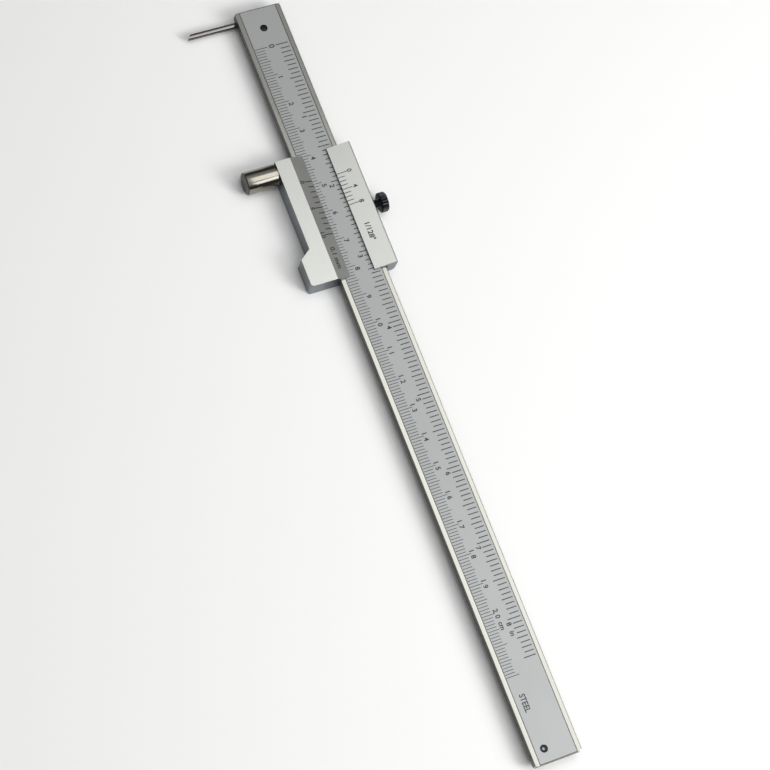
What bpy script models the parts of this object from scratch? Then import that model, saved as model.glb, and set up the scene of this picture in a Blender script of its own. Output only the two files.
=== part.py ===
"""Vernier marking gauge: a scaled beam with a needle, and a slider that carries a guide pin.

The gauge lies on its back with the scale up. Every piece is drawn in the gauge's own frame,
whose zero is the scale's zero line, at the beam's left edge, on its front face:
+X runs along the beam away from the needle, +Y runs across it towards the thumb screw,
and +Z comes out of the scale. One empty moves that frame so that the world origin
is at the centre of the underside of the whole gauge.
"""

import math

import bmesh
import bpy
from mathutils import Matrix, Vector

MM = 0.001

# Fits
GAP = 0.1 * MM                     # between pieces that touch or screw together
SLIDE_GAP = 0.12 * MM              # between the beam's faces and the slider's channel
SEGMENTS = 32                      # sides of a large round piece
SMALL_SEGMENTS = 20                # sides of a small screw

# Beam
BEAM_START = -14.3 * MM
BEAM_END = 248.2 * MM
BEAM_WIDTH = 16.0 * MM
BEAM_THICKNESS = 3.0 * MM
BEAM_EDGE = 0.3 * MM               # chamfer along the four long edges
BEAM_CORNER = 0.8 * MM             # rounding of the four upright corners

# Needle, its clamp plate and that plate's fasteners
NEEDLE_RADIUS = 1.0 * MM
NEEDLE_X = -11.66 * MM
NEEDLE_Z = -3.4 * MM
NEEDLE_TIP_Y = -17.0 * MM
NEEDLE_LENGTH = 30.0 * MM
NEEDLE_POINT_SLOPE = 0.73          # rise of the oblique end for each unit across it
CLAMP_START = -13.9 * MM
CLAMP_END = -3.7 * MM
CLAMP_LOW_Y = 0.8 * MM
CLAMP_HIGH_Y = 15.2 * MM
CLAMP_SCREW_X = -6.85 * MM
CLAMP_SCREW_Y = 7.7 * MM
CLAMP_SCREW_RADIUS = 1.1 * MM
CLAMP_HEAD_RADIUS = 2.3 * MM
DOWEL_X = -6.85 * MM
DOWEL_Y = 12.6 * MM
DOWEL_RADIUS = 0.75 * MM
DOWEL_LENGTH = 3.4 * MM

# Stop screw near the far end of the beam
STOP_X = 243.7 * MM
STOP_Y = 4.7 * MM
STOP_RADIUS = 1.1 * MM
STOP_STANDS_OUT = 0.9 * MM         # how far its tail stands out of the beam's back

# Slider body
SLIDER_START = 39.7 * MM
SLIDER_END = 83.3 * MM
SLIDER_FRONT = 1.95 * MM
SLIDER_BACK = -5.4 * MM
SLIDER_LEFT = -6.4 * MM
SLIDER_RIGHT = 19.8 * MM
CHANNEL_LEFT = -GAP
CHANNEL_RIGHT = 16.6 * MM
CHANNEL_FRONT = SLIDE_GAP
CHANNEL_BACK = -BEAM_THICKNESS - SLIDE_GAP
METRIC_TIP_Y = 3.42 * MM           # edge of the sloped metric vernier
METRIC_TIP_Z = 0.27 * MM
METRIC_TOP_Y = -1.2 * MM           # where that slope meets the flat of the left side
INCH_TIP_Y = 11.78 * MM            # edge of the sloped inch vernier
INCH_TIP_Z = 0.85 * MM
INCH_TOP_Y = 19.35 * MM
INCH_TOP_Z = 2.05 * MM
RIGHT_SHOULDER_Z = 1.6 * MM
BACK_CORNER_RADIUS = 1.8 * MM

# Foot, the stop that hangs off the slider's lower left end
FOOT_LEFT = -10.2 * MM
FOOT_ROOT_X = 71.1 * MM
FOOT_SHOULDER_X = 73.9 * MM
FOOT_CORNER_RADIUS = 1.0 * MM
FOOT_OVERLAP = 0.5 * MM

# Guide pin
PIN_X = 42.96 * MM
PIN_Z = -1.6 * MM
PIN_RADIUS = 3.8 * MM
PIN_END_Y = -17.5 * MM
PIN_CHAMFER = 0.4 * MM
PIN_NECK = 0.5 * MM
PIN_NECK_RADIUS = 3.2 * MM
PIN_SHANK_RADIUS = 1.75 * MM
PIN_SHANK_LENGTH = 4.2 * MM
PIN_SCREW_Y = -4.4 * MM
PIN_SCREW_RADIUS = 1.0 * MM

# Gib, its two screws, the lock pad and the thumb screw
GIB_START = 41.2 * MM
GIB_END = 81.8 * MM
GIB_INNER_Y = 16.15 * MM
GIB_THICKNESS = 0.3 * MM
GIB_LOW_Z = -2.8 * MM
GIB_HIGH_Z = -0.2 * MM
GIB_SCREW_XS = (48.0 * MM, 76.0 * MM)
GIB_SCREW_RADIUS = 0.95 * MM
RECESS = 0.1 * MM                  # how deep a headless screw sits in its hole
PRESS_GAP = 0.05 * MM              # between a screw or pad tip and what it presses
THUMB_X = 61.72 * MM
THUMB_Z = -1.5 * MM
THUMB_RADIUS = 1.5 * MM
PAD_LENGTH = 1.3 * MM
KNOB_RADIUS = 3.3 * MM
KNOB_INNER_Y = 22.1 * MM
KNOB_OUTER_Y = 24.7 * MM
KNOB_CHAMFER = 0.4 * MM
KNOB_BORE_DEPTH = 1.8 * MM

# Middle of the underside of the whole gauge, in the gauge's frame
BASE = Vector(((BEAM_START + BEAM_END) / 2, (PIN_END_Y + KNOB_OUTER_Y) / 2, SLIDER_BACK))

TURN_TO_Y = Matrix.Rotation(math.radians(-90), 4, "X")      # local +Z becomes +Y
TURN_TO_MINUS_Y = Matrix.Rotation(math.radians(90), 4, "X")  # local +Z becomes -Y
TURN_TO_MINUS_Z = Matrix.Rotation(math.radians(180), 4, "X")
NO_TURN = Matrix.Identity(4)


def clear_scene():
    """Remove every object from the scene."""
    for item in list(bpy.data.objects):
        bpy.data.objects.remove(item, do_unlink=True)


def make_material(name, color, roughness, metallic):
    """Return a Principled material of one colour."""
    material = bpy.data.materials.new(name)
    material.use_nodes = True
    shader = material.node_tree.nodes["Principled BSDF"]
    shader.inputs["Base Color"].default_value = (*color, 1.0)
    shader.inputs["Roughness"].default_value = roughness
    shader.inputs["Metallic"].default_value = metallic
    material.diffuse_color = (*color, 1.0)
    return material


def make_empty(name, location, parent=None):
    """Return an empty at a place in its parent's frame."""
    empty = bpy.data.objects.new(name, None)
    empty.location = location
    empty.parent = parent
    bpy.context.scene.collection.objects.link(empty)
    return empty


def make_object(name, shape, parent, origin=(0.0, 0.0, 0.0), turn=NO_TURN):
    """Turn a bmesh into an object whose local frame has the given origin and turn."""
    bmesh.ops.recalc_face_normals(shape, faces=shape.faces)
    mesh = bpy.data.meshes.new(name)
    shape.to_mesh(mesh)
    shape.free()
    item = bpy.data.objects.new(name, mesh)
    item.parent = parent
    item.matrix_local = Matrix.Translation(origin) @ turn
    bpy.context.scene.collection.objects.link(item)
    return item


def finish(item, material, smooth=False):
    """Give an object its material, and smooth its round sides."""
    item.data.materials.append(material)
    if smooth:
        item.data.shade_smooth()
        item.data.set_sharp_from_angle(angle=math.radians(35))
    return item


def prism(outline, direction):
    """Return a bmesh of a flat outline of points, extruded along a direction."""
    shape = bmesh.new()
    corners = [shape.verts.new(point) for point in outline]
    face = shape.faces.new(corners)
    moved = bmesh.ops.extrude_face_region(shape, geom=[face])["geom"]
    top = [part for part in moved if isinstance(part, bmesh.types.BMVert)]
    bmesh.ops.translate(shape, verts=top, vec=direction)
    return shape


def turned(profile, segments):
    """Return a bmesh turned about local Z from (radius, height) points, capped at both ends."""
    shape = bmesh.new()
    rings = []
    for radius, height in profile:
        ring = []
        for step in range(segments):
            angle = 2 * math.pi * step / segments
            ring.append(shape.verts.new((radius * math.cos(angle), radius * math.sin(angle), height)))
        rings.append(ring)
    for low, high in zip(rings, rings[1:]):
        for step in range(segments):
            after = (step + 1) % segments
            shape.faces.new((low[step], low[after], high[after], high[step]))
    shape.faces.new(rings[0])
    shape.faces.new(rings[-1])
    return shape


def arc(centre, radius, start, end, steps):
    """Return points of an arc between two angles in degrees, both ends included."""
    points = []
    for step in range(steps + 1):
        angle = math.radians(start + (end - start) * step / steps)
        points.append((centre[0] + radius * math.cos(angle), centre[1] + radius * math.sin(angle)))
    return points


def cut(target, shape, parent, origin, turn=NO_TURN, operation="DIFFERENCE"):
    """Apply a hidden tool shape to an object with a Boolean modifier."""
    tool = make_object(f"tool_{target.name}_{len(target.modifiers)}", shape, parent, origin, turn)
    tool.hide_render = True
    tool.display_type = "WIRE"
    modifier = target.modifiers.new(tool.name, "BOOLEAN")
    modifier.operation = operation
    modifier.solver = "EXACT"
    modifier.object = tool


def chamfered_bar(start, end, low_y, high_y, low_z, high_z, edge):
    """Return a bar along X with a chamfer on its four long edges."""
    outline = [
        (start, low_y + edge, low_z), (start, high_y - edge, low_z),
        (start, high_y, low_z + edge), (start, high_y, high_z - edge),
        (start, high_y - edge, high_z), (start, low_y + edge, high_z),
        (start, low_y, high_z - edge), (start, low_y, low_z + edge),
    ]
    return prism(outline, (end - start, 0.0, 0.0))


def rounded_slab():
    """Return a slab as wide and long as the beam with round upright corners, and thicker than it."""
    inset = BEAM_CORNER
    corners = [
        (BEAM_END - inset, BEAM_WIDTH - inset, 0), (BEAM_START + inset, BEAM_WIDTH - inset, 90),
        (BEAM_START + inset, inset, 180), (BEAM_END - inset, inset, 270),
    ]
    outline = []
    for x, y, start in corners:
        outline += arc((x, y), BEAM_CORNER, start, start + 90, 5)
    low = -BEAM_THICKNESS - MM
    return prism([(x, y, low) for x, y in outline], (0.0, 0.0, BEAM_THICKNESS + 2 * MM))


def make_beam(frame, material):
    """Make the scaled bar, with the needle's groove and its screw and dowel holes."""
    shape = chamfered_bar(BEAM_START, BEAM_END, 0.0, BEAM_WIDTH, -BEAM_THICKNESS, 0.0, BEAM_EDGE)
    beam = make_object("beam", shape, frame)
    cut(beam, rounded_slab(), frame, (0.0, 0.0, 0.0), operation="INTERSECT")
    groove = [(NEEDLE_RADIUS + GAP, 0.0), (NEEDLE_RADIUS + GAP, BEAM_WIDTH + 2 * MM)]
    cut(beam, turned(groove, SEGMENTS), frame, (NEEDLE_X, -MM, NEEDLE_Z), TURN_TO_Y)
    through = BEAM_THICKNESS + 2 * MM
    for x, y, radius in ((CLAMP_SCREW_X, CLAMP_SCREW_Y, CLAMP_SCREW_RADIUS), (STOP_X, STOP_Y, STOP_RADIUS)):
        hole = [(radius + GAP, -through), (radius + GAP, 0.0)]
        cut(beam, turned(hole, SMALL_SEGMENTS), frame, (x, y, MM))
    blind = [(DOWEL_RADIUS + GAP, -MM), (DOWEL_RADIUS + GAP, DOWEL_LENGTH / 2 + GAP)]
    cut(beam, turned(blind, SMALL_SEGMENTS), frame, (DOWEL_X, DOWEL_Y, -BEAM_THICKNESS - GAP / 2))
    return finish(beam, material)


def make_needle(frame, material):
    """Make the round needle, with its end cut off obliquely to a point on the slider's side."""
    axis = make_empty("needle_axis", (NEEDLE_X, 0.0, NEEDLE_Z), frame)
    tail = NEEDLE_TIP_Y + NEEDLE_LENGTH
    profile = [(NEEDLE_RADIUS, NEEDLE_TIP_Y), (NEEDLE_RADIUS, tail - 0.3 * MM), (0.7 * MM, tail)]
    needle = make_object("scriber", turned(profile, SEGMENTS), axis, turn=TURN_TO_Y)
    low = -NEEDLE_RADIUS * 2
    rise = NEEDLE_POINT_SLOPE * (-low - NEEDLE_RADIUS)
    wedge = [
        (-low, NEEDLE_TIP_Y - rise, low),
        (low, NEEDLE_TIP_Y + NEEDLE_POINT_SLOPE * (NEEDLE_RADIUS - low), low),
        (low, NEEDLE_TIP_Y - 4 * MM, low),
        (-low, NEEDLE_TIP_Y - 4 * MM, low),
    ]
    cut(needle, prism(wedge, (0.0, 0.0, -2 * low)), axis, (0.0, 0.0, 0.0))
    return finish(needle, material, smooth=True)


def countersunk(head_radius, shank_radius, length, extra=0.0):
    """Return a turned countersunk screw shape, its flat head at 0 and its shank up local Z."""
    head = head_radius - shank_radius
    profile = [
        (head_radius + extra, -extra), (head_radius + extra, extra),
        (shank_radius + extra, head + extra), (shank_radius + extra, length + extra),
    ]
    if extra == 0.0:
        profile = [(head_radius, 0.0), (shank_radius, head), (shank_radius, length)]
    return turned(profile, SMALL_SEGMENTS)


def make_clamp(frame, steel, dark):
    """Make the plate that holds the needle behind the beam, its screw and its dowel."""
    top = -BEAM_THICKNESS - GAP
    shape = chamfered_bar(CLAMP_START, CLAMP_END, CLAMP_LOW_Y, CLAMP_HIGH_Y, SLIDER_BACK, top, 0.2 * MM)
    plate = make_object("scriber_clamp_plate", shape, frame)
    groove = [(NEEDLE_RADIUS + GAP, 0.0), (NEEDLE_RADIUS + GAP, BEAM_WIDTH + 2 * MM)]
    cut(plate, turned(groove, SEGMENTS), frame, (NEEDLE_X, -MM, NEEDLE_Z), TURN_TO_Y)
    slot = prism(
        [(NEEDLE_X - NEEDLE_RADIUS - GAP, -MM, NEEDLE_Z), (NEEDLE_X + NEEDLE_RADIUS + GAP, -MM, NEEDLE_Z),
         (NEEDLE_X + NEEDLE_RADIUS + GAP, -MM, 0.0), (NEEDLE_X - NEEDLE_RADIUS - GAP, -MM, 0.0)],
        (0.0, BEAM_WIDTH + 2 * MM, 0.0))
    cut(plate, slot, frame, (0.0, 0.0, 0.0))
    length = -SLIDER_BACK - RECESS
    place = (CLAMP_SCREW_X, CLAMP_SCREW_Y, SLIDER_BACK)
    cut(plate, countersunk(CLAMP_HEAD_RADIUS, CLAMP_SCREW_RADIUS, length, GAP), frame, place)
    blind = [(DOWEL_RADIUS + GAP, -DOWEL_LENGTH / 2 - GAP), (DOWEL_RADIUS + GAP, MM)]
    dowel_place = (DOWEL_X, DOWEL_Y, -BEAM_THICKNESS - GAP / 2)
    cut(plate, turned(blind, SMALL_SEGMENTS), frame, dowel_place)
    finish(plate, steel)
    screw = make_object("scriber_clamp_screw", countersunk(CLAMP_HEAD_RADIUS, CLAMP_SCREW_RADIUS, length),
                        frame, place)
    finish(screw, dark, smooth=True)
    pin = [(DOWEL_RADIUS, -DOWEL_LENGTH / 2), (DOWEL_RADIUS, DOWEL_LENGTH / 2)]
    dowel = make_object("scriber_clamp_dowel", turned(pin, SMALL_SEGMENTS), frame, dowel_place)
    finish(dowel, steel, smooth=True)


def make_stop_screw(frame, material):
    """Make the headless screw whose tail stops the slider at the end of the beam."""
    profile = [(STOP_RADIUS, -BEAM_THICKNESS - STOP_STANDS_OUT), (STOP_RADIUS, -RECESS)]
    screw = make_object("end_stop_screw", turned(profile, SMALL_SEGMENTS), frame, (STOP_X, STOP_Y, 0.0))
    return finish(screw, material, smooth=True)


def slider_section():
    """Return the (y, z) outline of the slider: a channel whose two lips hold the beam."""
    corner = (SLIDER_RIGHT - BACK_CORNER_RADIUS, SLIDER_BACK + BACK_CORNER_RADIUS)
    left_side = [
        (METRIC_TIP_Y, CHANNEL_FRONT), (METRIC_TIP_Y, METRIC_TIP_Z), (METRIC_TOP_Y, SLIDER_FRONT),
        (SLIDER_LEFT, SLIDER_FRONT), (SLIDER_LEFT, SLIDER_BACK),
    ]
    right_side = [
        (SLIDER_RIGHT, RIGHT_SHOULDER_Z), (INCH_TOP_Y, INCH_TOP_Z), (INCH_TIP_Y, INCH_TIP_Z),
        (INCH_TIP_Y, CHANNEL_FRONT), (CHANNEL_RIGHT, CHANNEL_FRONT), (CHANNEL_RIGHT, CHANNEL_BACK),
        (CHANNEL_LEFT, CHANNEL_BACK), (CHANNEL_LEFT, CHANNEL_FRONT),
    ]
    return left_side + arc(corner, BACK_CORNER_RADIUS, -90, 0, 6) + right_side


def foot_shape():
    """Return the foot, a plate as thick as the slider with one sloped shoulder."""
    corner = (SLIDER_END - FOOT_CORNER_RADIUS, FOOT_LEFT + FOOT_CORNER_RADIUS)
    outline = [(FOOT_ROOT_X, SLIDER_LEFT), (FOOT_SHOULDER_X, FOOT_LEFT)]
    outline += arc(corner, FOOT_CORNER_RADIUS, -90, 0, 5)
    outline += [(SLIDER_END, SLIDER_LEFT + FOOT_OVERLAP), (FOOT_ROOT_X, SLIDER_LEFT + FOOT_OVERLAP)]
    return prism([(x, y, SLIDER_BACK) for x, y in outline], (0.0, 0.0, SLIDER_FRONT - SLIDER_BACK))


def make_slider_body(carriage, material):
    """Make the one-piece slider with its foot and the holes for its pin and screws."""
    outline = [(SLIDER_START, y, z) for y, z in slider_section()]
    body = make_object("slider_body", prism(outline, (SLIDER_END - SLIDER_START, 0.0, 0.0)), carriage)
    origin = (0.0, 0.0, 0.0)
    cut(body, foot_shape(), carriage, origin, operation="UNION")
    shank = [(PIN_SHANK_RADIUS + GAP, -MM), (PIN_SHANK_RADIUS + GAP, PIN_SHANK_LENGTH + GAP)]
    cut(body, turned(shank, SMALL_SEGMENTS), carriage, (PIN_X, SLIDER_LEFT, PIN_Z), TURN_TO_Y)
    set_hole = [(PIN_SCREW_RADIUS + GAP, -MM), (PIN_SCREW_RADIUS + GAP, PIN_Z - SLIDER_BACK)]
    cut(body, turned(set_hole, SMALL_SEGMENTS), carriage, (PIN_X, PIN_SCREW_Y, SLIDER_BACK))
    bores = [(x, GIB_SCREW_RADIUS) for x in GIB_SCREW_XS] + [(THUMB_X, THUMB_RADIUS)]
    for x, radius in bores:
        bore = [(radius + GAP, 0.0), (radius + GAP, SLIDER_RIGHT - CHANNEL_RIGHT + 2 * MM)]
        cut(body, turned(bore, SMALL_SEGMENTS), carriage, (x, CHANNEL_RIGHT - MM, THUMB_Z), TURN_TO_Y)
    return finish(body, material)


def make_guide_pin(carriage, material, dark):
    """Make the round guide pin with its thin shank, and the screw that holds the shank."""
    length = SLIDER_LEFT - PIN_END_Y
    profile = [
        (PIN_SHANK_RADIUS, -PIN_SHANK_LENGTH), (PIN_SHANK_RADIUS, GAP),
        (PIN_NECK_RADIUS, GAP), (PIN_NECK_RADIUS, PIN_NECK), (PIN_RADIUS, PIN_NECK),
        (PIN_RADIUS, length - PIN_CHAMFER), (PIN_RADIUS - PIN_CHAMFER, length),
    ]
    place = (PIN_X, SLIDER_LEFT, PIN_Z)
    pin = make_object("guide_pin", turned(profile, SEGMENTS), carriage, place, TURN_TO_MINUS_Y)
    finish(pin, material, smooth=True)
    reach = PIN_Z - PIN_SHANK_RADIUS - PRESS_GAP - SLIDER_BACK
    grub = [(PIN_SCREW_RADIUS, RECESS), (PIN_SCREW_RADIUS, reach - 0.3 * MM), (0.6 * MM, reach)]
    screw = make_object("guide_pin_set_screw", turned(grub, SMALL_SEGMENTS), carriage,
                        (PIN_X, PIN_SCREW_Y, SLIDER_BACK))
    finish(screw, dark, smooth=True)


def make_gib(carriage, steel, dark, brass):
    """Make the spring strip beside the beam, its two screws and the pad that presses it."""
    shoe = make_empty("clamp_shoe_axis", (THUMB_X, CHANNEL_RIGHT, THUMB_Z), carriage)
    outer_y = GIB_INNER_Y + GIB_THICKNESS
    outline = [
        (GIB_START, GIB_INNER_Y, GIB_LOW_Z), (GIB_END, GIB_INNER_Y, GIB_LOW_Z),
        (GIB_END, outer_y, GIB_LOW_Z), (GIB_START, outer_y, GIB_LOW_Z),
    ]
    outline = [Vector(point) - shoe.location for point in outline]
    strip = make_object("gib_strip", prism(outline, (0.0, 0.0, GIB_HIGH_Z - GIB_LOW_Z)), shoe)
    finish(strip, steel)
    inner = outer_y + PRESS_GAP - CHANNEL_RIGHT
    pad = [(THUMB_RADIUS - PRESS_GAP, inner), (THUMB_RADIUS - PRESS_GAP, inner + PAD_LENGTH)]
    finish(make_object("lock_pad", turned(pad, SMALL_SEGMENTS), shoe, turn=TURN_TO_Y), brass, smooth=True)
    for number, x in enumerate(GIB_SCREW_XS, start=1):
        length = SLIDER_RIGHT - RECESS - outer_y - PRESS_GAP
        grub = [(0.5 * MM, 0.0), (GIB_SCREW_RADIUS, 0.4 * MM), (GIB_SCREW_RADIUS, length)]
        screw = make_object(f"gib_screw_{number}", turned(grub, SMALL_SEGMENTS), carriage,
                            (x, outer_y + PRESS_GAP, THUMB_Z), TURN_TO_Y)
        finish(screw, dark, smooth=True)


def make_thumb_screw(carriage, steel, dark):
    """Make the threaded stud and the round head that turns it, both on the screw's axis."""
    axis = make_empty("thumb_screw_axis", (THUMB_X, 0.0, THUMB_Z), carriage)
    tip = GIB_INNER_Y + GIB_THICKNESS + PRESS_GAP + PAD_LENGTH + PRESS_GAP
    inner_end = KNOB_INNER_Y + KNOB_BORE_DEPTH
    stud = [(1.1 * MM, tip), (THUMB_RADIUS, tip + 0.4 * MM), (THUMB_RADIUS, inner_end - GAP)]
    finish(make_object("thumb_stud", turned(stud, SMALL_SEGMENTS), axis, turn=TURN_TO_Y), steel, smooth=True)
    head = [
        (KNOB_RADIUS - KNOB_CHAMFER, KNOB_INNER_Y), (KNOB_RADIUS, KNOB_INNER_Y + KNOB_CHAMFER),
        (KNOB_RADIUS, KNOB_OUTER_Y - KNOB_CHAMFER), (KNOB_RADIUS - KNOB_CHAMFER, KNOB_OUTER_Y),
    ]
    knob = make_object("thumb_knob", turned(head, SEGMENTS), axis, turn=TURN_TO_Y)
    bore = [(THUMB_RADIUS + GAP, KNOB_INNER_Y - MM), (THUMB_RADIUS + GAP, inner_end)]
    cut(knob, turned(bore, SMALL_SEGMENTS), axis, (0.0, 0.0, 0.0), TURN_TO_Y)
    finish(knob, dark, smooth=True)


def build():
    """Build the whole gauge."""
    clear_scene()
    scale_steel = make_material("satin_scale_steel", (0.42, 0.43, 0.43), 0.42, 1.0)
    satin_chrome = make_material("satin_chrome", (0.62, 0.62, 0.59), 0.45, 1.0)
    polished = make_material("polished_steel", (0.55, 0.54, 0.52), 0.12, 1.0)
    spring_steel = make_material("spring_steel", (0.30, 0.31, 0.33), 0.30, 1.0)
    black_oxide = make_material("black_oxide", (0.02, 0.02, 0.022), 0.38, 0.8)
    brass = make_material("brass", (0.60, 0.42, 0.16), 0.30, 1.0)
    frame = make_empty("gauge_frame", -BASE)
    make_beam(frame, scale_steel)
    make_needle(frame, polished)
    make_clamp(frame, scale_steel, black_oxide)
    make_stop_screw(frame, black_oxide)
    carriage = make_empty("slider_axis", (0.0, 0.0, 0.0), frame)
    make_slider_body(carriage, satin_chrome)
    make_guide_pin(carriage, polished, black_oxide)
    make_gib(carriage, spring_steel, black_oxide, brass)
    make_thumb_screw(carriage, spring_steel, black_oxide)


build()
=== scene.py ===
"""Vernier marking gauge, dressed for a soft studio light.

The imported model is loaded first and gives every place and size. Each visible piece is drawn in
millimetres in the gauge's own frame, whose zero is the scale's zero line at the beam's left edge on
its front face. X runs along the beam away from the needle, Y runs across it towards the thumb screw,
and Z comes out of the scale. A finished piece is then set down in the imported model's frame.
"""

import logging
import math
from collections.abc import Callable, Iterable, Sequence
from dataclasses import dataclass, field
from enum import Enum
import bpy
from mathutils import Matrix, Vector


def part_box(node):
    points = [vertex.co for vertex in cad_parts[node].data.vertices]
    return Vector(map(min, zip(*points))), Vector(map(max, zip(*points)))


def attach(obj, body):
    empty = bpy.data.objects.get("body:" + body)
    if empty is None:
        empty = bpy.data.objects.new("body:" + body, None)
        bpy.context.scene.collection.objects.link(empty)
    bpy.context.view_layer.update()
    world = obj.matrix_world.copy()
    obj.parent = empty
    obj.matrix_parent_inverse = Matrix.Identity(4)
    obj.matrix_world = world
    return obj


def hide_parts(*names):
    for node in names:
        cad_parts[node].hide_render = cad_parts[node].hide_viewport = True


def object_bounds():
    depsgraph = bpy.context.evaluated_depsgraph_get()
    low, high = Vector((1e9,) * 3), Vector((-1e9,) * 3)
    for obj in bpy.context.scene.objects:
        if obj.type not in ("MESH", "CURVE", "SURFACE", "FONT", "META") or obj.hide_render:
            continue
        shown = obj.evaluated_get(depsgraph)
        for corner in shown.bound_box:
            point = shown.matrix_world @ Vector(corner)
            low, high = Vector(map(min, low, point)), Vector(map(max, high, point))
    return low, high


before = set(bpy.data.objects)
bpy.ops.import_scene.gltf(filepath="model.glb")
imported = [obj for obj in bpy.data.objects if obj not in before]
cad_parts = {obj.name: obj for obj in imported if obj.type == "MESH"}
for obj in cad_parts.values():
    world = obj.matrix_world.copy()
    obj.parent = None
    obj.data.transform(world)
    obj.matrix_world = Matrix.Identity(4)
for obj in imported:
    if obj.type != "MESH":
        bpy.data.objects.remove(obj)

from types import TracebackType
from typing import Any

import bmesh
import bpy
from mathutils import Vector

CAD_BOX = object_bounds()
MM = 0.001
INCH = 25.4
SCALE_START = 14.3              # from the beam's needle end to the scale's zero line
NEEDLE_PLACE = (-11.66, -3.4)   # the needle's axis, along X and Z
NEEDLE_GROOVE = 1.1             # radius of the groove that the needle lies in
HAIR = 0.0001                   # two points closer than this are one
OVERRUN = 1.0                   # how far a cutter runs out past a face
CREASE = 18.0                   # an edge that turns by less, in degrees, is part of a rounded corner
LOG = logging.getLogger("gauge")

Point = Sequence[float]


class Axis(Enum):
    """The directions that round pieces are turned about."""

    X = 0
    Y = 1
    Z = 2


class Body(Enum):
    """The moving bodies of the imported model."""

    BEAM = "beam_unit"
    NEEDLE = "needle"
    SLIDER = "slider"
    SHOE = "clamp_shoe"
    THUMB = "thumb_screw"


class Slot(Enum):
    """The record's material slots."""

    SCALE = "scale_steel"
    NEEDLE = "needle_steel"
    PLATE = "plate_steel"
    SCREW = "black_screw"
    CHROME = "satin_chrome"
    POLISHED = "polished_steel"
    SPRING = "spring_steel"
    BRASS = "brass"
    KNOB = "black_knob"


# ---- Places ----


def zero_point() -> Vector:
    """Find the scale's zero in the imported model.

    Returns:
        The zero point in metres.
    """
    low, high = (Vector(corner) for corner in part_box("beam"))
    return Vector((low.x + SCALE_START * MM, low.y, high.z))


ZERO = zero_point()


@dataclass(frozen=True)
class Box:
    """A node's box in the gauge's frame, in millimetres."""

    low: Vector
    high: Vector

    @classmethod
    def of(cls, node: str) -> "Box":
        """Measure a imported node.

        Args:
            node: The node's name.

        Returns:
            Its box.
        """
        low, high = (Vector(corner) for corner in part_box(node))
        return cls((low - ZERO) / MM, (high - ZERO) / MM)

    @property
    def middle(self) -> Vector:
        """The middle of the box."""
        return (self.low + self.high) / 2

    @property
    def radius(self) -> float:
        """Half of the box's length along X."""
        return self.high.x - self.middle.x


# ---- Tools of the bench ----


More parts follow.
